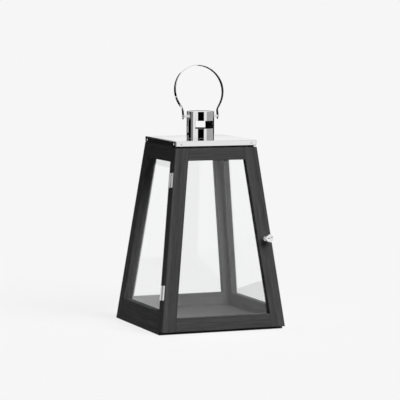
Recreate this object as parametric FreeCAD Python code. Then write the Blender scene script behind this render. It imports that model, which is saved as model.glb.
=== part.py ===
import FreeCAD
import Part
import math
import os

Vec = FreeCAD.Vector

# A candle lantern: a wooden frustum with four panes, a hinged front door, a sheet-steel
# top with a round chimney, and a bail handle. Millimetres. The origin is the middle of
# the base on the ground, +Z is up, the door is on the -Y side and is hung on the -X side.

# Body: a square frustum that stands on the ground
base_width = 230.0
top_width = 150.0
body_height = 318.0
edge_chamfer = 0.5

# Side and back frames, measured level and square to each face
frame_thick = 12.0
back_thick = 11.0
side_front_stile = 8.5
side_rear_stile = 22.5
back_stile = 12.5
bottom_rail_top = 38.5
top_rail_bottom = 292.0

# Glass, held in grooves
glass_thick = 2.0
glass_depth = 8.0
door_glass_depth = 6.0
groove_depth = 4.0

# Door, with a gap behind it and above it
door_thick = 12.5
door_gap = 0.5
door_stile = 25.0
door_bottom = 5.5
door_top = 315.6
door_bottom_rail_top = 28.7
door_top_rail_bottom = 294.4

# Floor
floor_top = 15.0
floor_bottom = 3.0
sill_depth = 12.0

# Dowels
dowel_radius = 2.5
frame_dowel_in_stile = 5.0
frame_dowel_in_rail = 9.0
door_dowel_half = 14.0
top_dowel_z = 305.0
low_dowel_z = 19.0
door_low_dowel_z = 17.0
back_dowel_heights = (70.0, 165.0, 260.0)
floor_dowel_places = (-50.0, 50.0)

# Top board and its screws
top_board_margin = 0.8
top_board_top = 327.4
top_screw_length = 27.0
top_screw_radius = 1.5
top_screw_head_radius = 3.2
top_screw_head_height = 2.4
top_screw_inset = 6.0
top_screw_place = 36.0

# Folded steel top
sheet = 0.8
cap_top = 328.2
cap_lip_bottom = 319.0
cap_bend_radius = 1.3
vent_radius = 21.0
nail_place = 65.0
nail_z = 322.6
nail_radius = 0.7
nail_length = 11.0
nail_head_radius = 1.9
nail_head_height = 0.9

# Chimney
chimney_radius = 24.15
chimney_wall = 1.0
chimney_top = 375.0
window_half_width = 16.6
window_bottom = 345.4
window_top = 359.0
lid_drop = 0.4
lid_skirt = 5.0

# Bail handle and its two pins
pivot_z = 366.4
pin_radius = 1.5
pin_clearance = 0.05
pin_shoulder_radius = 2.4
pin_head_radius = 2.8
pin_head_height = 1.0
strip_thick = 1.2
strip_width = 7.0
tab_x = 32.4
tab_side_gap = 0.35
tab_drop = 5.5
ring_radius = 44.8
ring_centre = 45.0
ring_end_angle = 30.0
handle_lean = 10.0

# Butt hinges
hinge_heights = (71.0, 261.0)
hinge_length = 25.0
leaf_thick = 0.8
frame_leaf_width = 8.0
door_leaf_width = 11.0
knuckle_radius = 1.5
hinge_pin_radius = 0.8
hinge_pin_clearance = 0.05
knuckle_length = 7.0
knuckle_gap = 0.3
leaf_relief = 0.25
hinge_screw_spread = 8.0
hinge_screw_radius = 1.0
hinge_screw_head_radius = 1.8
hinge_screw_length = 8.0
frame_screw_place = 4.9
door_screw_place = 7.0

# Ball knob
knob_z = 157.5
knob_inset = 10.0
ball_radius = 7.5
ball_proud = 13.0
stem_radius = 3.2
collar_radius = 4.6
collar_height = 1.2
stud_radius = 1.6
stud_in_wood = 10.0
stud_in_ball = 11.0

# Magnetic catch
catch_bottom = 21.0
catch_top = 43.0
catch_width = 9.0
catch_front = 13.8
catch_back = 21.0
catch_screw_inset = 4.0
catch_screw_depth = 15.6
catch_screw_in_wood = 5.0
magnet_inset = 2.0
magnet_end_inset = 6.5
magnet_depth = 4.0
strike_thick = 0.9
strike_width = 8.0
strike_bottom = 20.0
strike_top = 41.0
small_screw_radius = 1.0
small_screw_head_radius = 1.9
small_screw_head_height = 0.9
small_screw_length = 8.0

taper = (base_width - top_width) / 2 / body_height
carcass_front = door_thick + door_gap
x_axis = Vec(1, 0, 0)
y_axis = Vec(0, 1, 0)
z_axis = Vec(0, 0, 1)


def half(z):
    """Half the body's width at a height."""
    return base_width / 2 - taper * z


def bound(side, offset=0.0):
    """A sloping plane: side -1, 0 or 1 picks the body's face, offset is added to it."""
    return (side, offset)


def bound_at(plane, z):
    return plane[0] * half(z) + plane[1]


def mirrored(low, high, side):
    """The pair of planes on the +X side, or swapped over to the -X side."""
    if side > 0:
        return low, high
    return (-high[0], -high[1]), (-low[0], -low[1])


def block(x_planes, y_planes, z_low, z_high):
    """A solid between two sloping planes along X, two along Y and two levels."""
    corners = []
    for z in (z_low, z_high):
        x0, x1 = (bound_at(plane, z) for plane in x_planes)
        y0, y1 = (bound_at(plane, z) for plane in y_planes)
        corners.append([Vec(x0, y0, z), Vec(x1, y0, z), Vec(x1, y1, z), Vec(x0, y1, z)])
    low, high = corners
    rings = [low[::-1], high]
    for i in range(4):
        j = (i + 1) % 4
        rings.append([low[i], low[j], high[j], high[i]])
    faces = [Part.Face(Part.makePolygon(ring + ring[:1])) for ring in rings]
    return Part.Solid(Part.makeShell(faces))


def wood(x_planes, y_planes, z_low, z_high):
    """A planed length of wood with its edges eased."""
    solid = block(x_planes, y_planes, z_low, z_high)
    return solid.makeChamfer(edge_chamfer, solid.Edges)


def rod(start, direction, length, radius):
    return Part.makeCylinder(radius, length, start, direction)


def screw(top, direction, length, radius, head_radius, head_height):
    """A countersunk screw whose flat head is flush with its top point."""
    shank = rod(top, direction, length, radius)
    head = Part.makeCone(head_radius, radius, head_height, top, direction)
    return shank.fuse(head).removeSplitter()


def side_frame(side):
    """The stiles, rails and pane of the left (-1) or right (+1) frame."""
    thickness = mirrored(bound(1, -frame_thick), bound(1), side)
    pane_x = mirrored(bound(1, -glass_depth - glass_thick), bound(1, -glass_depth), side)
    front = bound(-1, carcass_front)
    front_edge = bound(-1, carcass_front + side_front_stile)
    rear_edge = bound(1, -side_rear_stile)
    rear = bound(1)
    pane_y = (bound(-1, front_edge[1] - groove_depth), bound(1, rear_edge[1] + groove_depth))
    glass = block(pane_x, pane_y, bottom_rail_top - groove_depth, top_rail_bottom + groove_depth)
    return {
        "front_stile": wood(thickness, (front, front_edge), 0, body_height).cut(glass),
        "rear_stile": wood(thickness, (rear_edge, rear), 0, body_height).cut(glass),
        "bottom_rail": wood(thickness, (front_edge, rear_edge), 0, bottom_rail_top).cut(glass),
        "top_rail": wood(thickness, (front_edge, rear_edge), top_rail_bottom, body_height).cut(glass),
        "glass": glass,
    }


def back_frame():
    """The stiles, rails and pane between the rear stiles of the side frames."""
    thickness = (bound(1, -back_thick), bound(1))
    pane_y = (bound(1, -glass_depth - glass_thick), bound(1, -glass_depth))
    inner = frame_thick + back_stile
    pane_x = (bound(-1, inner - groove_depth), bound(1, groove_depth - inner))
    glass = block(pane_x, pane_y, bottom_rail_top - groove_depth, top_rail_bottom + groove_depth)
    rail_x = (bound(-1, inner), bound(1, -inner))
    parts = {"glass": glass}
    for name, side in (("left_stile", -1), ("right_stile", 1)):
        x_planes = mirrored(bound(1, -inner), bound(1, -frame_thick), side)
        parts[name] = wood(x_planes, thickness, 0, body_height).cut(glass)
    parts["bottom_rail"] = wood(rail_x, thickness, 0, bottom_rail_top).cut(glass)
    parts["top_rail"] = wood(rail_x, thickness, top_rail_bottom, body_height).cut(glass)
    return parts


def door_frame():
    """The door's stiles, rails and pane."""
    thickness = (bound(-1), bound(-1, door_thick))
    pane_y = (bound(-1, door_glass_depth), bound(-1, door_glass_depth + glass_thick))
    pane_x = (bound(-1, door_stile - groove_depth), bound(1, groove_depth - door_stile))
    glass = block(pane_x, pane_y, door_bottom_rail_top - groove_depth, door_top_rail_bottom + groove_depth)
    rail_x = (bound(-1, door_stile), bound(1, -door_stile))
    parts = {"glass": glass}
    for name, side in (("left_stile", -1), ("right_stile", 1)):
        x_planes = mirrored(bound(1, -door_stile), bound(1), side)
        parts[name] = wood(x_planes, thickness, door_bottom, door_top).cut(glass)
    parts["bottom_rail"] = wood(rail_x, thickness, door_bottom, door_bottom_rail_top).cut(glass)
    parts["top_rail"] = wood(rail_x, thickness, door_top_rail_bottom, door_top).cut(glass)
    return parts


def floor_parts():
    """The front sill under the door and the floor board behind it."""
    inside = (bound(-1, frame_thick), bound(1, -frame_thick))
    sill_y = (bound(-1, carcass_front), bound(-1, carcass_front + sill_depth))
    board_y = (bound(-1, carcass_front + sill_depth), bound(1, -back_thick))
    return {
        "front_sill": wood(inside, sill_y, 0, floor_top),
        "base_board": wood(inside, board_y, floor_bottom, floor_top),
    }


def carcass_dowels():
    """Dowels at every butt joint of the side frames, back frame and floor."""
    dowels = []
    length = frame_dowel_in_stile + frame_dowel_in_rail
    for side in (-1, 1):
        for z in (low_dowel_z, top_dowel_z):
            x = side * (half(z) - frame_thick / 2)
            front_joint = -half(z) + carcass_front + side_front_stile
            rear_joint = half(z) - side_rear_stile
            dowels.append(rod(Vec(x, front_joint - frame_dowel_in_stile, z), y_axis, length, dowel_radius))
            dowels.append(rod(Vec(x, rear_joint - frame_dowel_in_rail, z), y_axis, length, dowel_radius))
            back_joint = half(z) - frame_thick - back_stile
            start = Vec(side * (back_joint + frame_dowel_in_stile), half(z) - back_thick / 2, z)
            dowels.append(rod(start, x_axis * -side, length, dowel_radius))
        for z in back_dowel_heights:
            joint = half(z) - frame_thick
            start = Vec(side * (joint + frame_dowel_in_stile), half(z) - back_thick / 2, z)
            dowels.append(rod(start, x_axis * -side, frame_dowel_in_stile * 2, dowel_radius))
        z = (floor_top + floor_bottom) / 2
        joint = half(z) - frame_thick
        for y in floor_dowel_places:
            start = Vec(side * (joint + frame_dowel_in_stile), y, z)
            dowels.append(rod(start, x_axis * -side, length, dowel_radius))
        y = -half(z) + carcass_front + side_front_stile / 2
        start = Vec(side * (joint + frame_dowel_in_stile), y, z)
        dowels.append(rod(start, x_axis * -side, length, dowel_radius))
    return dowels


def door_dowels():
    dowels = []
    for side in (-1, 1):
        for z in (door_low_dowel_z, top_dowel_z):
            start = Vec(side * (half(z) - door_stile + door_dowel_half), door_thick / 2 - half(z), z)
            dowels.append(rod(start, x_axis * -side, door_dowel_half * 2, dowel_radius))
    return dowels


def drill(parts, names, tools):
    """Cut the tools out of the named parts."""
    cutter = Part.makeCompound(tools)
    for name in names:
        parts[name] = parts[name].cut(cutter)


def top_board():
    side = top_width - 2 * top_board_margin
    corner = Vec(-side / 2, -side / 2, body_height)
    board = Part.makeBox(side, side, top_board_top - body_height, corner)
    board = board.makeChamfer(edge_chamfer, board.Edges)
    return board.cut(rod(Vec(0, 0, body_height - 1), z_axis, top_board_top, vent_radius))


def top_board_screws():
    """Two screws down into each side top rail and two into the back one."""
    inset = top_width / 2 - top_screw_inset
    places = [(side * inset, y) for side in (-1, 1) for y in (-top_screw_place, top_screw_place)]
    places += [(x, top_width / 2 - back_thick / 2) for x in (-top_screw_place, top_screw_place)]
    return [
        screw(Vec(x, y, top_board_top), z_axis * -1, top_screw_length,
              top_screw_radius, top_screw_head_radius, top_screw_head_height)
        for x, y in places
    ]


def rounded_box(half_width, z_low, z_high, radius):
    """A box whose upright and top edges are rounded."""
    corner = Vec(-half_width, -half_width, z_low)
    box = Part.makeBox(2 * half_width, 2 * half_width, z_high - z_low, corner)
    edges = [edge for edge in box.Edges if edge.BoundBox.ZMax > z_high - 0.001]
    return box.makeFillet(radius, edges)


def top_cap():
    """The folded sheet-steel tray over the top board, with its vent hole."""
    outer = rounded_box(top_width / 2, cap_lip_bottom, cap_top, cap_bend_radius)
    inner_top = cap_top - sheet
    inner = rounded_box(top_width / 2 - sheet, cap_lip_bottom - 1, inner_top, cap_bend_radius - sheet)
    return outer.cut(inner).cut(rod(Vec(0, 0, cap_lip_bottom), z_axis, cap_top, vent_radius))


def cap_nails():
    """Two round-headed nails near the ends of each lip."""
    nails = []
    for turn in range(4):
        for place in (-nail_place, nail_place):
            seat = Vec(place, -top_width / 2, nail_z)
            shank = rod(seat, y_axis, nail_length, nail_radius)
            bulge = (nail_head_radius ** 2 + nail_head_height ** 2) / (2 * nail_head_height)
            ball = Part.makeSphere(bulge, seat + y_axis * (bulge - nail_head_height))
            head = ball.common(rod(seat - y_axis * nail_head_height, y_axis, nail_head_height, bulge))
            nail = shank.fuse(head).removeSplitter()
            nail.rotate(Vec(0, 0, 0), z_axis, 90 * turn)
            nails.append(nail)
    return nails


def chimney():
    """The tube on the steel top, with a window front and back and two pin holes."""
    height = chimney_top - cap_top
    bottom = Vec(0, 0, cap_top)
    tube = rod(bottom, z_axis, height, chimney_radius)
    tube = tube.cut(rod(bottom, z_axis, height, chimney_radius - chimney_wall))
    corner = Vec(-window_half_width, -2 * chimney_radius, window_bottom)
    window = Part.makeBox(2 * window_half_width, 4 * chimney_radius, window_top - window_bottom, corner)
    hole = rod(Vec(-2 * chimney_radius, 0, pivot_z), x_axis, 4 * chimney_radius, pin_radius)
    return tube.cut(window).cut(hole)


def chimney_lid():
    """A pressed disc with a turned-down skirt that closes the tube's top from inside."""
    radius = chimney_radius - chimney_wall
    top = chimney_top - lid_drop
    cup = rod(Vec(0, 0, top - lid_skirt), z_axis, lid_skirt, radius)
    rim = [edge for edge in cup.Edges if edge.BoundBox.ZMin > top - 0.001]
    cup = cup.makeFillet(chimney_wall, rim)
    return cup.cut(rod(Vec(0, 0, top - lid_skirt), z_axis, lid_skirt - chimney_wall, radius - chimney_wall))


def handle_pin(side):
    """A shouldered pin, riveted through the tube wall, that carries one tab of the handle."""
    out = x_axis * side
    centre = Vec(0, 0, pivot_z)
    wall_inside = chimney_radius - chimney_wall
    inner_face = tab_x - strip_thick / 2 - tab_side_gap
    outer_face = tab_x + strip_thick / 2 + tab_side_gap
    start = wall_inside - pin_head_height
    inner_head = rod(centre + out * start, out, pin_head_height + 1, pin_head_radius)
    bore = rod(centre - z_axis * chimney_radius, z_axis, 2 * chimney_radius, wall_inside)
    inner_head = inner_head.common(bore)
    shank = rod(centre + out * (start + 0.1), out, outer_face + pin_head_height - start - 0.2, pin_radius)
    shoulder_start = math.sqrt(chimney_radius ** 2 - pin_shoulder_radius ** 2) - 0.5
    shoulder = rod(centre + out * shoulder_start, out, inner_face - shoulder_start, pin_shoulder_radius)
    tube = rod(centre - z_axis * chimney_radius, z_axis, 2 * chimney_radius, chimney_radius)
    shoulder = shoulder.cut(tube)
    outer_head = rod(centre + out * outer_face, out, pin_head_height, pin_head_radius)
    return shank.multiFuse([inner_head, shoulder, outer_head]).removeSplitter()


def handle_outline(offset):
    """The strip's line at an offset from its middle, from the left tab round to the right."""
    angle = math.radians(ring_end_angle)
    radius = ring_radius + offset
    centre = Vec(0, 0, pivot_z + ring_centre)
    arc_end = centre + Vec(radius * math.cos(angle), 0, -radius * math.sin(angle))
    down = Vec(-math.sin(angle), 0, -math.cos(angle))
    tab = tab_x + offset
    kink = arc_end + down * ((arc_end.x - tab) / math.sin(angle))
    foot = Vec(tab, 0, pivot_z - tab_drop)
    left = [Vec(-p.x, 0, p.z) for p in (foot, kink, arc_end)]
    edges = [
        Part.makeLine(left[0], left[1]),
        Part.makeLine(left[1], left[2]),
        Part.Arc(left[2], centre + z_axis * radius, arc_end).toShape(),
        Part.makeLine(arc_end, kink),
        Part.makeLine(kink, foot),
    ]
    return edges, left[0], foot


def handle():
    """The flat steel strip bent to a ring, with a tab and a pin hole at each end."""
    outer, outer_left, outer_right = handle_outline(strip_thick / 2)
    inner, inner_left, inner_right = handle_outline(-strip_thick / 2)
    ends = [Part.makeLine(outer_right, inner_right), Part.makeLine(inner_left, outer_left)]
    wire = Part.Wire(Part.__sortEdges__(outer + inner + ends))
    strip = Part.Face(wire).extrude(y_axis * strip_width)
    strip.translate(y_axis * (-strip_width / 2))
    strip = round_tabs(strip)
    reach = tab_x + strip_width
    hole = rod(Vec(-reach, 0, pivot_z), x_axis, 2 * reach, pin_radius + pin_clearance)
    strip = strip.cut(hole)
    strip.rotate(Vec(0, 0, pivot_z), x_axis, -handle_lean)
    return strip


def round_tabs(strip):
    """Round the four lower corners of the tabs."""
    corners = []
    for edge in strip.Edges:
        box = edge.BoundBox
        if box.ZMax < pivot_z - tab_drop + 0.001 and box.YLength < 0.001:
            corners.append(edge)
    return strip.makeFillet(strip_width / 2 - 0.6, corners)


def hinge_axis():
    """Directions of the hinges: out of the left face, forward along it, and up the axis."""
    up = Vec(taper, taper, 1).normalize()
    out = Vec(-1, 0, taper).normalize()
    forward = up.cross(out)
    return out, forward, up


def hinge_origin(z):
    """The point on the left face at the joint between door and frame."""
    return Vec(-half(z), -half(z) + door_thick + door_gap / 2, z)


def hinge(z):
    """The frame leaf, door leaf and pin of one hinge, built square and then set in place."""
    low = -hinge_length / 2
    axis = Vec(knuckle_radius, 0, low)
    middle = hinge_length / 2 - knuckle_length / 2
    hole = rod(axis, z_axis, hinge_length, hinge_pin_radius)
    running_hole = rod(axis, z_axis, hinge_length, hinge_pin_radius + hinge_pin_clearance)
    end_length = middle - knuckle_gap
    end_knuckles = [
        rod(axis, z_axis, end_length, knuckle_radius),
        rod(axis + z_axis * (hinge_length - end_length), z_axis, end_length, knuckle_radius),
    ]
    mid_knuckle = rod(axis + z_axis * middle, z_axis, knuckle_length, knuckle_radius)
    clear = knuckle_radius + leaf_relief
    frame_leaf = Part.makeBox(leaf_thick, frame_leaf_width, hinge_length, Vec(0, -frame_leaf_width, low))
    mid_space = rod(axis + z_axis * (middle - knuckle_gap), z_axis, knuckle_length + 2 * knuckle_gap, clear)
    frame_leaf = frame_leaf.cut(mid_space).multiFuse(end_knuckles).cut(hole)
    door_leaf = Part.makeBox(leaf_thick, door_leaf_width, hinge_length, Vec(0, 0, low))
    for start in (-knuckle_gap, hinge_length - middle):
        end_space = rod(axis + z_axis * start, z_axis, middle + knuckle_gap, clear)
        door_leaf = door_leaf.cut(end_space)
    door_leaf = door_leaf.fuse(mid_knuckle).cut(running_hole)
    pieces = [frame_leaf.removeSplitter(), door_leaf.removeSplitter(), hole]
    return [set_on_hinge_line(piece, z) for piece in pieces]


def hinge_screws(z, place, direction):
    """The two screws of one leaf, on the frame's (-1) or the door's (+1) side of the axis."""
    screws = []
    for spread in (-hinge_screw_spread, hinge_screw_spread):
        top = Vec(leaf_thick, direction * place, spread)
        piece = screw(top, x_axis * -1, hinge_screw_length,
                      hinge_screw_radius, hinge_screw_head_radius, leaf_thick)
        screws.append(set_on_hinge_line(piece, z))
    return screws


def set_on_hinge_line(shape, z):
    """Move a shape from the square hinge frame to the sloping corner of the body."""
    out, forward, up = hinge_axis()
    origin = hinge_origin(z)
    matrix = FreeCAD.Matrix(
        out.x, forward.x, up.x, origin.x,
        out.y, forward.y, up.y, origin.y,
        out.z, forward.z, up.z, origin.z,
        0, 0, 0, 1)
    placed = shape.copy()
    placed.Placement = FreeCAD.Placement(matrix).multiply(placed.Placement)
    return placed


def knob_parts():
    """The ball knob on the door's right stile and the stud that holds it in the wood."""
    out = Vec(0, -1, taper).normalize()
    seat = Vec(half(knob_z) - knob_inset, -half(knob_z), knob_z)
    ball = Part.makeSphere(ball_radius, seat + out * ball_proud)
    stem = rod(seat, out, ball_proud, stem_radius)
    collar = rod(seat, out, collar_height, collar_radius)
    stud = rod(seat - out * stud_in_wood, out, stud_in_wood + stud_in_ball, stud_radius)
    return {
        "knob": ball.multiFuse([stem, collar]).removeSplitter().cut(stud),
        "knob_stud": stud,
    }


def catch_parts():
    """The magnetic catch on the right frame's front stile and its plate on the door."""
    body_x = (bound(1, -frame_thick - catch_width), bound(1, -frame_thick))
    body = block(body_x, (bound(-1, catch_front), bound(-1, catch_back)), catch_bottom, catch_top)
    magnet_x = (bound(1, -frame_thick - catch_width + magnet_inset), bound(1, -frame_thick - magnet_inset))
    magnet = block(magnet_x, (bound(-1, catch_front), bound(-1, catch_front + magnet_depth)),
                   catch_bottom + magnet_end_inset, catch_top - magnet_end_inset)
    screws = []
    for z in (catch_bottom + catch_screw_inset, catch_top - catch_screw_inset):
        seat = Vec(half(z) - frame_thick - catch_width, catch_screw_depth - half(z), z)
        direction = Vec(1, 0, -taper).normalize()
        screws.append(screw(seat, direction, catch_width + catch_screw_in_wood,
                            small_screw_radius, small_screw_head_radius, small_screw_head_height))
    body = body.cut(Part.makeCompound([magnet] + screws))
    z = (strike_bottom + strike_top) / 2
    centre = frame_thick + catch_width / 2
    plate_x = (bound(1, -centre - strike_width / 2), bound(1, -centre + strike_width / 2))
    plate_y = (bound(-1, door_thick), bound(-1, door_thick + strike_thick))
    plate = block(plate_x, plate_y, strike_bottom, strike_top)
    inward = Vec(0, -1, taper).normalize()
    plate_seat = Vec(half(z) - centre, door_thick + strike_thick - half(z), z)
    plate_screw = screw(plate_seat, inward, small_screw_length,
                        small_screw_radius, small_screw_head_radius, small_screw_head_height)
    return {
        "catch_body": body,
        "catch_magnet": magnet,
        "catch_screws": Part.makeCompound(screws),
        "strike_plate": plate.cut(plate_screw),
        "strike_screw": plate_screw,
    }


def build():
    """Every piece by its name."""
    parts = floor_parts()
    for name, side in (("left", -1), ("right", 1)):
        for piece, shape in side_frame(side).items():
            parts[name + "_" + piece] = shape
    for piece, shape in back_frame().items():
        parts["back_" + piece] = shape
    for piece, shape in door_frame().items():
        parts["door_" + piece] = shape
    carcass_wood = [name for name in parts if not name.startswith("door_") and not name.endswith("glass")]
    door_wood = ["door_left_stile", "door_right_stile", "door_bottom_rail", "door_top_rail"]

    dowels = carcass_dowels()
    drill(parts, carcass_wood, dowels)
    parts["frame_dowels"] = Part.makeCompound(dowels)
    dowels = door_dowels()
    drill(parts, door_wood, dowels)
    parts["door_dowels"] = Part.makeCompound(dowels)

    parts["top_board"] = top_board()
    screws = top_board_screws()
    drill(parts, ["top_board", "left_top_rail", "right_top_rail", "back_top_rail"], screws)
    parts["top_board_screws"] = Part.makeCompound(screws)
    parts["top_cap"] = top_cap()
    nails = cap_nails()
    drill(parts, ["top_board", "top_cap"], nails)
    parts["cap_nails"] = Part.makeCompound(nails)

    parts["chimney"] = chimney()
    parts["chimney_lid"] = chimney_lid()
    parts["handle_pin_left"] = handle_pin(-1)
    parts["handle_pin_right"] = handle_pin(1)
    drill(parts, ["chimney_lid"], [parts["handle_pin_left"], parts["handle_pin_right"]])
    parts["handle"] = handle()

    frame_screws = []
    leaf_screws = []
    for name, z in zip(("lower_hinge", "upper_hinge"), hinge_heights):
        frame_leaf, door_leaf, pin = hinge(z)
        of_frame = hinge_screws(z, frame_screw_place, -1)
        of_door = hinge_screws(z, door_screw_place, 1)
        parts[name + "_frame_leaf"] = frame_leaf.cut(Part.makeCompound(of_frame))
        parts[name + "_door_leaf"] = door_leaf.cut(Part.makeCompound(of_door))
        parts[name + "_pin"] = pin
        frame_screws += of_frame
        leaf_screws += of_door
    drill(parts, ["left_front_stile"], frame_screws)
    drill(parts, ["door_left_stile"], leaf_screws)
    parts["hinge_frame_screws"] = Part.makeCompound(frame_screws)
    parts["hinge_door_screws"] = Part.makeCompound(leaf_screws)

    parts.update(knob_parts())
    drill(parts, ["door_right_stile"], [parts["knob_stud"]])
    parts.update(catch_parts())
    drill(parts, ["right_front_stile"], [parts["catch_screws"]])
    drill(parts, ["door_right_stile"], [parts["strike_screw"]])
    return parts


def main():
    os.makedirs("parts", exist_ok=True)
    for name, shape in sorted(build().items()):
        if not shape.isValid() or not shape.Solids:
            raise RuntimeError(name + " is not a valid solid")
        shape.exportStep("parts/" + name + ".step")
        box = shape.BoundBox
        print(f"{name}: {len(shape.Solids)} solid, {shape.Volume:.0f} mm3, z {box.ZMin:.1f} to {box.ZMax:.1f}")


main()
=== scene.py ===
import math

import bmesh
import bpy
from mathutils import Matrix, Quaternion, Vector


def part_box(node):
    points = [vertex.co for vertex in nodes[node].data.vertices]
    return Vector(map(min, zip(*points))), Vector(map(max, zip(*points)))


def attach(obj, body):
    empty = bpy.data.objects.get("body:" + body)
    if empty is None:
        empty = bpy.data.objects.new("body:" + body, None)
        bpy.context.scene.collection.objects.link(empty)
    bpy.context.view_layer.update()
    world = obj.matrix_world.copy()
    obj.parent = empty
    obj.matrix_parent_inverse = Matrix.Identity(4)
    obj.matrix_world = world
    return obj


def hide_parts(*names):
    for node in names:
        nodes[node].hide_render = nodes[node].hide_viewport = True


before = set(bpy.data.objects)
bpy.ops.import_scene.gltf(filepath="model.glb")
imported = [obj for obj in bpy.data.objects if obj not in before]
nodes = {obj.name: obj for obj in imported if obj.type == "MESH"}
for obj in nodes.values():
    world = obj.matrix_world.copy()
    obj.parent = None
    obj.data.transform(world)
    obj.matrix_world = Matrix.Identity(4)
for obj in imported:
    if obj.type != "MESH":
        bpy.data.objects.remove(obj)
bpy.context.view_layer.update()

lantern = {"baseHalf": 0.115, "topHalf": 0.075, "bodyHeight": 0.318, "pivotHeight": 0.3664}
slope = (lantern["baseHalf"] - lantern["topHalf"]) / lantern["bodyHeight"]  # how each side leans in
hair = 1e-5  # places closer than this count as one


def halfWidth(z):
    return lantern["baseHalf"] - slope * z


def deselectAll():
    if bpy.context.mode != "OBJECT":
        bpy.ops.object.mode_set(mode="OBJECT")
    bpy.ops.object.select_all(action="DESELECT")


def selectOnly(piece):
    deselectAll()
    piece.select_set(True)
    bpy.context.view_layer.objects.active = piece


def settle(piece):
    # Puts the object's place and turn into its mesh
    selectOnly(piece)
    bpy.ops.object.transform_apply(location=True, rotation=True, scale=True)


def takeNew(name):
    # The primitive just added, settled under its own name
    piece = bpy.context.active_object
    piece.name = piece.data.name = name
    settle(piece)
    return piece


def openPiece(piece, kind):
    selectOnly(piece)
    bpy.ops.object.mode_set(mode="EDIT")
    bpy.ops.mesh.select_mode(type=kind)
    bpy.ops.mesh.select_all(action="DESELECT")


def pick(piece, kind, wanted):
    # Marks, in edit mode, the verts, edges or faces that the test wants. What is marked of
    # the other kinds stays marked.
    mesh = bmesh.from_edit_mesh(piece.data)
    for element in getattr(mesh, kind):
        element.select_set(False)
    for element in getattr(mesh, kind):
        if wanted(element):
            element.select_set(True)
    bmesh.update_edit_mesh(piece.data)


def closePiece():
    bpy.ops.object.mode_set(mode="OBJECT")


def faceOutwards(piece):
    openPiece(piece, "FACE")
    bpy.ops.mesh.select_all(action="SELECT")
    bpy.ops.mesh.remove_doubles(threshold=hair / 10)
    bpy.ops.mesh.normals_make_consistent(inside=False)
    closePiece()


def finishWith(piece, kind, **settings):
    # Adds a modifier, sets it and applies it
    selectOnly(piece)
    modifier = piece.modifiers.new(kind.title(), kind)
    for name, value in settings.items():
        setattr(modifier, name, value)
    bpy.ops.object.modifier_apply(modifier=modifier.name)


def cutAway(piece, cutter):
    finishWith(piece, "BOOLEAN", object=cutter, operation="DIFFERENCE", solver="EXACT")
    bpy.data.objects.remove(cutter)


def softenEdges(piece, width, steps, leastTurn=50):
    # Bevels the edges at which the surface turns by more than leastTurn
    finishWith(piece, "BEVEL", width=width, segments=steps, angle_limit=math.radians(leastTurn))


def smooth(piece, degrees=30):
    selectOnly(piece)
    bpy.ops.object.shade_smooth_by_angle(angle=math.radians(degrees))


def smoothByFlats(piece):
    # Shades the small bevels round, while the large faces still mirror as flats
    smooth(piece)
    finishWith(piece, "WEIGHTED_NORMAL", weight=100, keep_sharp=True)


def turned(name, start, axis, profile, sides):
    # A lathe: the profile's pairs are the distance along the axis and the radius
    axis = axis.normalized()
    deselectAll()
    along, radius = profile[0]
    bpy.ops.mesh.primitive_circle_add(
        vertices=sides, radius=radius, fill_type="NGON", location=start + axis * along,
        rotation=axis.to_track_quat("Z", "Y").to_euler())
    piece = takeNew(name)
    openPiece(piece, "FACE")
    bpy.ops.mesh.select_all(action="SELECT")
    for nextAlong, nextRadius in profile[1:]:
        bpy.ops.mesh.extrude_region_move(
            TRANSFORM_OT_translate={"value": axis * (nextAlong - along)})
        if nextRadius != radius:
            grow = nextRadius / radius
            bpy.ops.transform.resize(value=(grow, grow, grow), center_override=start + axis * nextAlong)
        along, radius = nextAlong, nextRadius
    closePiece()
    faceOutwards(piece)
    return piece


def joinPieces(pieces, name):
    deselectAll()
    for piece in pieces:
        piece.select_set(True)
    bpy.context.view_layer.objects.active = pieces[0]
    bpy.ops.object.join()
    joined = bpy.context.active_object
    joined.name = joined.data.name = name
    return joined


def arcProfile(centreAlong, radius, fromAngle, toAngle, steps):
    # Distance and radius of points on a circle that is centred on the axis
    points = []
    for step in range(steps + 1):
        angle = math.radians(fromAngle + (toAngle - fromAngle) * step / steps)
        points.append((centreAlong - radius * math.cos(angle), radius * math.sin(angle)))
    return points


class Value:
    # A shader socket on which Python's own operators add Math nodes
    def __init__(self, finish, socket):
        self.finish, self.socket = finish, socket

    def maths(self, operation, first, second):
        return self.finish.node("Math", {"operation": operation}, {0: first, 1: second})

    def __add__(self, other):
        return self.maths("ADD", self, other)

    def __sub__(self, other):
        return self.maths("SUBTRACT", self, other)

    def __rsub__(self, other):
        return self.maths("SUBTRACT", other, self)

    def __mul__(self, other):
        return self.maths("MULTIPLY", self, other)

    __radd__ = __add__
    __rmul__ = __mul__


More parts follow.
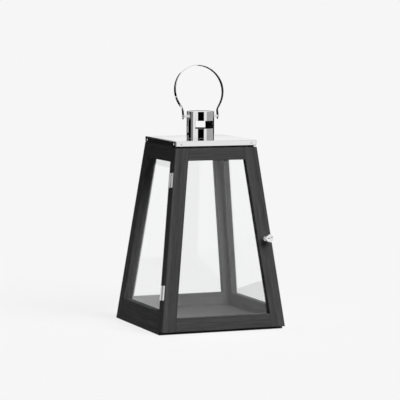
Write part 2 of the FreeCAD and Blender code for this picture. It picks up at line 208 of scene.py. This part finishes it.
class Finish:
    # A material, or the world, that is being mixed
    def __init__(self, name, world=None):
        self.owner = world or bpy.data.materials.new(name)
        self.owner.use_nodes = True
        self.tree = self.owner.node_tree
        self.tree.nodes.clear()

    def node(self, kind, settings=None, sockets=None, output=0):
        made = self.tree.nodes.new("ShaderNode" + kind)
        for name, value in (settings or {}).items():
            if name == "stops":
                for stop, (place, shade) in zip(made.color_ramp.elements, value):
                    stop.position, stop.color = place, grey(shade)
            else:
                setattr(made, name, value)
        for name, value in (sockets or {}).items():
            if isinstance(value, Value):
                self.tree.links.new(value.socket, made.inputs[name])
            else:
                made.inputs[name].default_value = value
        return Value(self, made.outputs[output]) if made.outputs else None

    def place(self):
        return self.node("TexCoord", output="Object")

    def noise(self, vector, scale, detail=2.0, roughness=0.5):
        return self.node("TexNoise", {}, {
            "Vector": vector, "Scale": scale, "Detail": detail, "Roughness": roughness})

    def stretch(self, vector, factors):
        return self.node("VectorMath", {"operation": "MULTIPLY"}, {0: vector, 1: factors})

    def ramp(self, value, dark, light):
        # Black up to the first number and white from the second
        return self.node("ValToRGB", {"stops": [(dark, 0), (light, 1)]}, {"Fac": value})

    def between(self, low, high, value):
        return value * (high - low) + low

    def blendColours(self, factor, first, second):
        return self.node("Mix", {"data_type": "RGBA"}, {0: factor, 6: first, 7: second}, output=2)

    def bump(self, height, distance, strength=1.0):
        return self.node("Bump", {}, {"Height": height, "Distance": distance, "Strength": strength})

    def surface(self, **sockets):
        named = {name.replace("_", " "): value for name, value in sockets.items()}
        return self.node("BsdfPrincipled", {}, named)

    def done(self, shader):
        self.node("OutputMaterial", {}, {"Surface": shader})
        return self.owner


def grey(level):
    return (level, level, level, 1)


def coat(name, material):
    # Gives a CAD node its finish
    node = nodes[name]
    for place in node.material_slots:
        place.material = material
    if not node.material_slots:
        node.data.materials.append(material)


def dress(piece, material, body, replaced):
    # Finishes a modelled piece and puts it in its CAD node's place
    if not piece.data.materials:
        piece.data.materials.append(material)
    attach(piece, body)
    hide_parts(replaced)


woodStain = {
    "darkest": 0.034,
    "lightest": 0.088,
    "streaks": (900, 900, 26),  # how fine the figure is: across, across and along the grain
    "bands": (150, 150, 4.5),
    "pores": (2300, 2300, 110),
    "streakShare": 0.6,  # of the tone; the bands make the rest
    "toneEnds": (0.32, 0.68),
    "poreEnds": (0.3, 0.42),
    "poreTone": 0.55,
    "relief": 0.00012,
    "roughness": (0.52, 0.72),
    "gloss": 0.06,
    "shift": (0.31, 0.17, 0.23),  # from one piece's place in the figure to the next one's
}


def stainedWood(name, grain, seat):
    # Black-stained timber whose grain runs along the given direction
    look = woodStain
    finish = Finish(name)
    turn = grain.normalized().rotation_difference(Vector((0, 0, 1))).to_euler()
    place = finish.node("Mapping", {}, {"Vector": finish.place(), "Rotation": turn, "Location": seat})
    streaks = finish.noise(
        finish.stretch(place, look["streaks"]), scale=1.0, detail=4.0, roughness=0.6)
    bands = finish.noise(finish.stretch(place, look["bands"]), scale=1.0)
    pores = finish.noise(finish.stretch(place, look["pores"]), scale=1.0)
    figure = streaks * look["streakShare"] + bands * (1 - look["streakShare"])
    openPores = finish.between(look["poreTone"], 1.0, finish.ramp(pores, *look["poreEnds"]))
    tone = finish.ramp(figure, *look["toneEnds"]) * openPores
    return finish.done(finish.surface(
        Base_Color=finish.blendColours(tone, grey(look["darkest"]), grey(look["lightest"])),
        Roughness=finish.between(*look["roughness"], 1 - tone),
        Normal=finish.bump(tone, look["relief"]),
        Specular_IOR_Level=look["gloss"]))


def finishWood():
    # Stiles have their grain up the leaning corners, and rails and boards lie level
    corner = {
        "front_left": Vector((slope, slope, 1)), "front_right": Vector((-slope, slope, 1)),
        "rear_left": Vector((slope, -slope, 1)), "rear_right": Vector((-slope, -slope, 1)),
    }
    across, along = Vector((1, 0, 0)), Vector((0, 1, 0))
    grain = {
        "left_front_stile": corner["front_left"], "door_left_stile": corner["front_left"],
        "right_front_stile": corner["front_right"], "door_right_stile": corner["front_right"],
        "left_rear_stile": corner["rear_left"], "back_left_stile": corner["rear_left"],
        "right_rear_stile": corner["rear_right"], "back_right_stile": corner["rear_right"],
    }
    for side in ("left", "right"):
        for rail in ("top_rail", "bottom_rail"):
            grain[side + "_" + rail] = along
    for name in ("door_top_rail", "door_bottom_rail", "back_top_rail", "back_bottom_rail",
                 "front_sill", "base_board", "top_board"):
        grain[name] = across
    for count, (name, direction) in enumerate(grain.items()):
        seat = count * Vector(woodStain["shift"])
        coat(name, stainedWood("stainedWood_" + name, direction, seat))
    print("wood:", len(grain), "pieces stained")


beechWood = {"dark": (0.42, 0.28, 0.16, 1), "light": (0.6, 0.43, 0.27, 1),
             "streaks": 500.0, "roughness": (0.5, 0.7)}


def beech():
    look = beechWood
    finish = Finish("beechDowel")
    streaks = finish.noise(finish.place(), look["streaks"], detail=3.0)
    return finish.done(finish.surface(
        Base_Color=finish.blendColours(streaks, look["dark"], look["light"]),
        Roughness=finish.between(*look["roughness"], streaks)))


paneGlass = {"tint": (0.993, 0.995, 0.994, 1), "bend": 1.5, "waves": 6.0, "waviness": 0.00002}


def glass():
    look = paneGlass
    finish = Finish("paneGlass")
    waves = finish.noise(finish.place(), look["waves"], detail=1.0)
    pane = finish.node("BsdfGlass", {}, {
        "Color": look["tint"], "Roughness": 0.0, "IOR": look["bend"],
        "Normal": finish.bump(waves, look["waviness"], strength=0.3)})
    clear = finish.node("BsdfTransparent", {}, {"Color": look["tint"]})
    lampLight = finish.node("LightPath", output="Is Shadow Ray")
    return finish.done(finish.node("MixShader", {}, {0: lampLight, 1: pane, 2: clear}))


steelLook = {"haze": 160.0, "patches": (0.96, 1.03), "ripples": 18.0}


def steel(name, shade, roughness, ripple=0.0):
    # Polished or plated steel with faint hazing and, on thin sheet, a slight ripple
    look = steelLook
    finish = Finish(name)
    place = finish.place()
    haze = finish.noise(place, look["haze"], detail=4.0, roughness=0.6)
    dull, bright = (grey(shade * patch) for patch in look["patches"])
    sockets = {
        "Base_Color": finish.blendColours(haze, dull, bright),
        "Metallic": 1.0,
        "Roughness": finish.between(*roughness, haze),
    }
    if ripple:
        ripples = finish.noise(place, look["ripples"], detail=1.0)
        sockets["Normal"] = finish.bump(ripples, ripple, strength=0.5)
    return finish.done(finish.surface(**sockets))


polished = steel("polishedSteel", 0.84, (0.02, 0.06))
sheetSteel = steel("sheetSteel", 0.84, (0.04, 0.08), 0.00005)
hingeSteel = steel("hingeSteel", 0.72, (0.16, 0.3))
nailSteel = steel("nailSteel", 0.7, (0.1, 0.2))
zincSteel = steel("zincSteel", 0.6, (0.25, 0.4))
# Near-black steel for the tube's inside: painted shade, not the steel's own colour
paintedShadeSteel = steel("tubeInsidePaintedShade", 0.03, (0.3, 0.5))
magnetSteel = steel("magnetSteel", 0.12, (0.4, 0.6))

catchPlastic = {"grit": 2500.0, "shades": (0.004, 0.009), "roughness": (0.35, 0.5), "relief": 0.00003}


def blackPlastic():
    look = catchPlastic
    finish = Finish("blackPlastic")
    grit = finish.noise(finish.place(), look["grit"])
    dark, light = look["shades"]
    return finish.done(finish.surface(
        Base_Color=finish.blendColours(grit, grey(dark), grey(light)),
        Roughness=finish.between(*look["roughness"], grit),
        Normal=finish.bump(grit, look["relief"])))


def finishHardware():
    paneFinish, dowelFinish = glass(), beech()
    for name in nodes:
        if name.endswith("_glass"):
            coat(name, paneFinish)
        elif name.endswith("_dowels"):
            coat(name, dowelFinish)
        elif "hinge_" in name:
            coat(name, hingeSteel)
    for name in ("knob_stud", "strike_plate", "strike_screw", "catch_screws", "top_board_screws"):
        coat(name, zincSteel)
    coat("catch_body", blackPlastic())
    coat("catch_magnet", magnetSteel)
    print("glass, dowels and hardware finished")


steelTop = {"fold": 0.0013, "foldSteps": 6, "sheet": 0.0008, "edge": 0.00012,
            "ventRadius": 0.021, "ventSides": 64}


def makeSteelTop():
    # A box with no floor and rounded folds, given the sheet's thickness
    look = steelTop
    low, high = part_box("top_cap")
    size = high - low
    deselectAll()
    bpy.ops.mesh.primitive_cube_add(size=1, location=(low + high) / 2, scale=size)
    piece = takeNew("steelTop")
    openPiece(piece, "FACE")
    pick(piece, "faces", lambda face: face.normal.z < -0.5)
    bpy.ops.mesh.delete(type="FACE")
    bpy.ops.mesh.select_mode(type="EDGE")
    pick(piece, "edges", lambda edge: not edge.is_boundary)
    bpy.ops.mesh.bevel(offset=look["fold"], segments=look["foldSteps"])
    closePiece()
    finishWith(piece, "SOLIDIFY", thickness=look["sheet"], offset=-1, use_even_offset=True)
    deselectAll()
    bpy.ops.mesh.primitive_cylinder_add(
        vertices=look["ventSides"], radius=look["ventRadius"], depth=2 * size.z,
        location=(0, 0, high.z))
    cutAway(piece, takeNew("ventCutter"))
    softenEdges(piece, look["edge"], 1)
    smoothByFlats(piece)
    dress(piece, sheetSteel, "carcass", "top_cap")


capNail = {"headRadius": 0.0019, "headHeight": 0.0009, "shank": 0.0007, "length": 0.011,
           "place": 0.065, "height": 0.3226, "sides": 20, "domeSteps": 5, "tipAngle": 3}


def makeCapNails():
    # Two domed nails through each lip of the steel top
    look = capNail
    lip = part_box("top_cap")[1].x
    bulge = (look["headRadius"] ** 2 + look["headHeight"] ** 2) / (2 * look["headHeight"])
    spread = math.degrees(math.asin(look["headRadius"] / bulge))
    dome = arcProfile(bulge - look["headHeight"], bulge, spread, look["tipAngle"], look["domeSteps"])
    profile = [(-look["length"], look["shank"]), (0, look["shank"])]
    profile += [(-along, radius) for along, radius in dome]
    nails = []
    for side in range(4):
        rotation = Matrix.Rotation(side * math.pi / 2, 3, "Z")
        out = rotation @ Vector((0, -1, 0))
        for place in (-look["place"], look["place"]):
            seat = rotation @ Vector((place, -lip, look["height"]))
            nails.append(turned("capNail", seat, out, profile, look["sides"]))
    piece = joinPieces(nails, "capNails")
    smooth(piece, 40)
    dress(piece, nailSteel, "carcass", "cap_nails")


chimney = {"wall": 0.001, "sides": 256, "windowHalf": 0.0166, "windowLow": 0.3454,
           "windowHigh": 0.359, "rim": 0.00015, "rimTurn": 40}


def makeChimney():
    # A tube with a window cut straight through it; its inside is painted near black, as painted shade
    # in the tube's hollow
    look = chimney
    low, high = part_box("chimney")
    radius = high.x
    deselectAll()
    bpy.ops.mesh.primitive_cylinder_add(
        vertices=look["sides"], radius=radius, depth=high.z - low.z, end_fill_type="NOTHING",
        location=(0, 0, (low.z + high.z) / 2))
    piece = takeNew("chimneyTube")
    piece.data.materials.append(polished)
    # The inner wall takes the near-black steel, as painted shade inside the tube
    piece.data.materials.append(paintedShadeSteel)
    finishWith(piece, "SOLIDIFY", thickness=look["wall"], offset=-1, material_offset=1)
    deselectAll()
    bpy.ops.mesh.primitive_cube_add(
        size=1, location=(0, 0, (look["windowLow"] + look["windowHigh"]) / 2),
        scale=(2 * look["windowHalf"], 4 * radius, look["windowHigh"] - look["windowLow"]))
    cutAway(piece, takeNew("windowCutter"))
    softenEdges(piece, look["rim"], 2, look["rimTurn"])
    smooth(piece, 10)  # round the tube only, so that its bevels don't bend the reflections
    dress(piece, polished, "carcass", "chimney")


chimneyLid = {"drop": 0.0004, "skirt": 0.005, "edgeSteps": 5, "sides": 96,
              "recess": 0.98, "flat": 0.5}


def makeChimneyLid():
    # A pressed disc with a rounded edge, whose skirt sits inside the tube
    look = chimneyLid
    wall = chimney["wall"]
    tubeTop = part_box("chimney")[1]
    outer = tubeTop.x - wall
    inner = outer - wall
    top = tubeTop.z - look["drop"]
    bottom = top - look["skirt"]
    profile = [(top - wall, inner * look["recess"]), (bottom, inner), (bottom, outer)]
    for step in range(look["edgeSteps"] + 1):
        angle = math.radians(90 * step / look["edgeSteps"])
        profile.append((top - wall + wall * math.sin(angle), outer - wall + wall * math.cos(angle)))
    profile.append((top, outer * look["flat"]))
    piece = turned("chimneyLid", Vector((0, 0, 0)), Vector((0, 0, 1)), profile, look["sides"])
    smooth(piece)
    dress(piece, polished, "carcass", "chimney_lid")


bailPin = {
    "shank": 0.0015, "shoulder": 0.0024, "head": 0.0028, "headHeight": 0.001,
    "gap": 0.00035, "sides": 32,
    "innerHead": ((1, 0.8), (0.6, 1), (0, 1)),  # shares of the head's height and radius
    "outerHead": ((0, 1), (0.35, 1), (0.75, 0.8), (1, 0.35)),
}
bail = {
    "thick": 0.0012, "width": 0.007, "edge": 0.0002, "lean": 10,
    "ringRadius": 0.0448, "ringCentre": 0.045, "ringEnd": 30, "ringSteps": 96,
    "kinkBend": 0.0022, "kinkSteps": 4,
    "tabX": 0.0324, "tabDrop": 0.0055, "tabRound": 0.0029, "tabSteps": 6,
    "pinHole": 0.00155, "holeSides": 32,
}


def makeBailPins():
    # Shouldered pins, headed inside the tube and outside the handle
    look = bailPin
    innerFace = bail["tabX"] - bail["thick"] / 2 - look["gap"]
    outerFace = bail["tabX"] + bail["thick"] / 2 + look["gap"]
    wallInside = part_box("chimney")[1].x - chimney["wall"]
    profile = [(wallInside - look["headHeight"] * height, look["head"] * wide)
               for height, wide in look["innerHead"]]
    profile += [
        (wallInside, look["shoulder"]), (innerFace, look["shoulder"]),
        (innerFace, look["shank"]), (outerFace, look["shank"]),
    ]
    profile += [(outerFace + look["headHeight"] * height, look["head"] * wide)
                for height, wide in look["outerHead"]]
    start = Vector((0, 0, lantern["pivotHeight"]))
    for side, word in ((-1, "left"), (1, "right")):
        pin = turned("bailPin_" + word, start, Vector((side, 0, 0)), profile, look["sides"])
        smooth(pin)
        dress(pin, polished, "carcass", "handle_pin_" + word)


def mirrored(point):
    return Vector((-point.x, point.y, point.z))


def makeBail():
    # One flat strip: up the left tab, round the ring and down the right tab
    look = bail
    pivot = lantern["pivotHeight"]
    end = math.radians(look["ringEnd"])
    centre = Vector((0, 0, pivot + look["ringCentre"]))
    arcEnd = centre + look["ringRadius"] * Vector((math.cos(end), 0, -math.sin(end)))
    slant = (arcEnd.x - look["tabX"]) / math.sin(end)
    kink = arcEnd - slant * Vector((math.sin(end), 0, math.cos(end)))
    foot = Vector((look["tabX"], 0, pivot - look["tabDrop"]))

    def drawAlong(*route):
        for here, there in zip(route, route[1:]):
            bpy.ops.mesh.extrude_region_move(TRANSFORM_OT_translate={"value": there - here})

    deselectAll()
    bpy.ops.mesh.primitive_plane_add(size=look["width"], location=mirrored(foot))
    piece = takeNew("bailStrip")
    openPiece(piece, "VERT")
    pick(piece, "verts", lambda vert: vert.co.x > -foot.x)
    bpy.ops.mesh.delete(type="VERT")
    bpy.ops.mesh.select_all(action="SELECT")
    bpy.ops.transform.translate(value=(look["width"] / 2, 0, 0))
    bpy.ops.mesh.select_mode(type="EDGE")
    bpy.ops.mesh.select_all(action="SELECT")
    drawAlong(mirrored(foot), mirrored(kink), mirrored(arcEnd))
    bpy.ops.mesh.spin(
        steps=look["ringSteps"], angle=math.pi + 2 * end, center=centre, axis=(0, -1, 0))
    drawAlong(arcEnd, kink, foot)
    pick(piece, "edges", lambda edge: all(abs(vert.co.z - kink.z) < hair for vert in edge.verts))
    bpy.ops.mesh.bevel(offset=look["kinkBend"], segments=look["kinkSteps"])
    # Rounds the tabs' corners, and divides the kinks finely, as their edges are still marked
    bpy.ops.mesh.select_mode(type="VERT")
    pick(piece, "verts", lambda vert: vert.co.z < foot.z + hair)
    bpy.ops.mesh.bevel(offset=look["tabRound"], segments=look["tabSteps"], affect="VERTICES")
    closePiece()
    faceOutwards(piece)
    finishWith(piece, "SOLIDIFY", thickness=look["thick"], offset=0, use_even_offset=True)
    deselectAll()
    bpy.ops.mesh.primitive_cylinder_add(
        vertices=look["holeSides"], radius=look["pinHole"], depth=3 * look["tabX"],
        location=(0, 0, pivot), rotation=(0, math.pi / 2, 0))
    cutAway(piece, takeNew("pinHoleCutter"))
    softenEdges(piece, look["edge"], 2)
    lean = Matrix.Rotation(math.radians(-look["lean"]), 4, "X")
    pivotPoint = Matrix.Translation((0, 0, pivot))
    piece.matrix_world = pivotPoint @ lean @ pivotPoint.inverted()
    settle(piece)
    smoothByFlats(piece)
    dress(piece, polished, "bail", "handle")


ballKnob = {
    "height": 0.1575, "inset": 0.01, "ball": 0.0075, "proud": 0.013, "stem": 0.0032,
    "collar": 0.0046, "collarHeight": 0.0012, "collarEdge": 0.0004,
    "sides": 64, "steps": 24, "tipAngle": 178,
}


def makeKnob():
    # A ball on a short stem and collar, square to the leaning door
    look = ballKnob
    out = Vector((0, -1, slope)).normalized()
    z = look["height"]
    seat = Vector((halfWidth(z) - look["inset"], -halfWidth(z), z))
    meets = math.degrees(math.asin(look["stem"] / look["ball"]))
    profile = [
        (0, look["collar"]),
        (look["collarHeight"] - look["collarEdge"], look["collar"]),
        (look["collarHeight"], look["collar"] - look["collarEdge"]),
        (look["collarHeight"], look["stem"]),
    ]
    profile += arcProfile(look["proud"], look["ball"], meets, look["tipAngle"], look["steps"])
    piece = turned("knobBall", seat, out, profile, look["sides"])
    smooth(piece)
    dress(piece, polished, "door", "knob")


view = {
    "from": (-1.356957, -3.366082, 0.558529), "towards": (0, 0, 0.2188247),
    "roll": 0.2765, "lens": 186.8, "sensor": 36.0, "clip": (0.05, 200),
}
backdrop = {"white": 0.922, "skyForMatt": 0.08, "floorShade": 0.16, "floorSize": 60.0}
key = {"direction": (0.3, -0.72, 0.62), "level": 1.05, "softness": 40}

# Cards that only reflections see. Angles are level, from the camera's direction, with the
# camera's right hand positive; the rest are metres from the lantern's middle.
cards = {
    "cameraSide": {"angles": (-20, 30), "distance": 0.8, "heights": (0.18, 0.42), "shade": 0.0},
    "bailEdge": {"angles": (36, 52), "distance": 0.8, "heights": (0.57, 0.668), "shade": 0.0},
    "left": {"angles": (-122, -83), "distance": 0.6, "heights": (0.24, 0.46), "shade": 0.0},
    "leftGrey": {"angles": (-83, -62), "distance": 0.6, "heights": (0.25, 0.46), "shade": 0.25},
    "rear": {"angles": (-202, -131), "distance": 0.36, "heights": (0.2, 0.345), "shade": 0.0},
    "behindLip": {"angles": (-165, -105), "distance": 0.36, "heights": (0.285, 0.316), "shade": 0.01},
    "behindBail": {"angles": (-160, -127), "distance": 0.36, "heights": (0.328, 0.56), "shade": 0.0},
    "right": {"angles": (53, 128), "distance": 0.6, "heights": (0.25, 0.46), "shade": 0.42},
    "rightRear": {"angles": (129, 158), "distance": 0.36, "heights": (0.309, 0.42), "shade": 0.0},
}


def seenDirectly(finish):
    # 1 for camera, mirror and glass rays, and 0 for the light that falls on things
    rays = [finish.node("LightPath", output=kind)
            for kind in ("Is Camera Ray", "Is Glossy Ray", "Is Transmission Ray")]
    return finish.node("Clamp", {}, {"Value": rays[0] + rays[1] + rays[2]})


def glow(name, level):
    finish = Finish(name)
    return finish.done(finish.node("Emission", {}, {"Color": grey(1), "Strength": level}))


def placeCard(name, card):
    eye = Vector(view["from"]).to_2d().normalized()
    right = Vector((-eye.y, eye.x))
    first, last = (math.radians(angle) for angle in card["angles"])
    middle = (first + last) / 2
    direction = eye * math.cos(middle) + right * math.sin(middle)
    low, high = card["heights"]
    width = 2 * card["distance"] * math.tan((last - first) / 2)
    deselectAll()
    bpy.ops.mesh.primitive_plane_add(size=1)
    plane = bpy.context.active_object
    plane.name = "card_" + name
    plane.scale = (width, high - low, 1)
    plane.rotation_euler = (math.pi / 2, 0, math.atan2(direction.y, direction.x) - math.pi / 2)
    spot = direction * card["distance"]
    plane.location = (spot.x, spot.y, (low + high) / 2)
    plane.data.materials.append(glow("card_" + name, card["shade"]))
    for kind in ("camera", "diffuse", "transmission", "volume_scatter", "shadow"):
        setattr(plane, "visible_" + kind, False)


def makeFloor():
    # Its own glow makes up what the lamp and sky leave short of the backdrop's white
    deselectAll()
    bpy.ops.mesh.primitive_plane_add(size=backdrop["floorSize"])
    floor = bpy.context.active_object
    floor.name = "floor"
    finish = Finish("paleFloor")
    matt = finish.node("BsdfDiffuse", {}, {"Color": grey(backdrop["floorShade"])})
    lit = backdrop["skyForMatt"] + key["level"] * Vector(key["direction"]).normalized().z
    fill = backdrop["white"] - backdrop["floorShade"] * lit
    white = finish.node("Emission", {}, {"Color": grey(1), "Strength": seenDirectly(finish) * fill})
    floor.data.materials.append(finish.done(finish.node("AddShader", {}, {0: matt, 1: white})))


def makeSky():
    world = bpy.data.worlds.new("studio")
    bpy.context.scene.world = world
    finish = Finish("studio", world)
    strength = finish.between(backdrop["skyForMatt"], backdrop["white"], seenDirectly(finish))
    sky = finish.node("Background", {}, {"Color": grey(1), "Strength": strength})
    finish.node("OutputWorld", {}, {"Surface": sky})


def makeKeyLight():
    lamp = bpy.data.lights.new("key", "SUN")
    lamp.energy = math.pi * key["level"]
    lamp.angle = math.radians(key["softness"])
    keyLight = bpy.data.objects.new("key", lamp)
    keyLight.rotation_mode = "QUATERNION"
    keyLight.rotation_quaternion = Vector(key["direction"]).to_track_quat("Z", "Y")
    keyLight.visible_glossy = False
    bpy.context.scene.collection.objects.link(keyLight)


def makeCamera():
    lens = bpy.data.cameras.new("camera")
    lens.lens, lens.sensor_width = view["lens"], view["sensor"]
    lens.clip_start, lens.clip_end = view["clip"]
    camera = bpy.data.objects.new("camera", lens)
    bpy.context.scene.collection.objects.link(camera)
    camera.location = view["from"]
    facing = (Vector(view["towards"]) - camera.location).to_track_quat("-Z", "Y")
    camera.rotation_mode = "QUATERNION"
    camera.rotation_quaternion = facing @ Quaternion((0, 0, 1), math.radians(view["roll"]))
    bpy.context.scene.camera = camera


bpy.context.scene.view_settings.view_transform = "Standard"
makeCamera()
makeFloor()
for name, card in cards.items():
    placeCard(name, card)
makeSky()
makeKeyLight()
print("stage and camera placed")

finishWood()
finishHardware()

makeSteelTop()
makeCapNails()
makeChimney()
makeChimneyLid()
makeBailPins()
makeBail()
makeKnob()
print("steel pieces made")
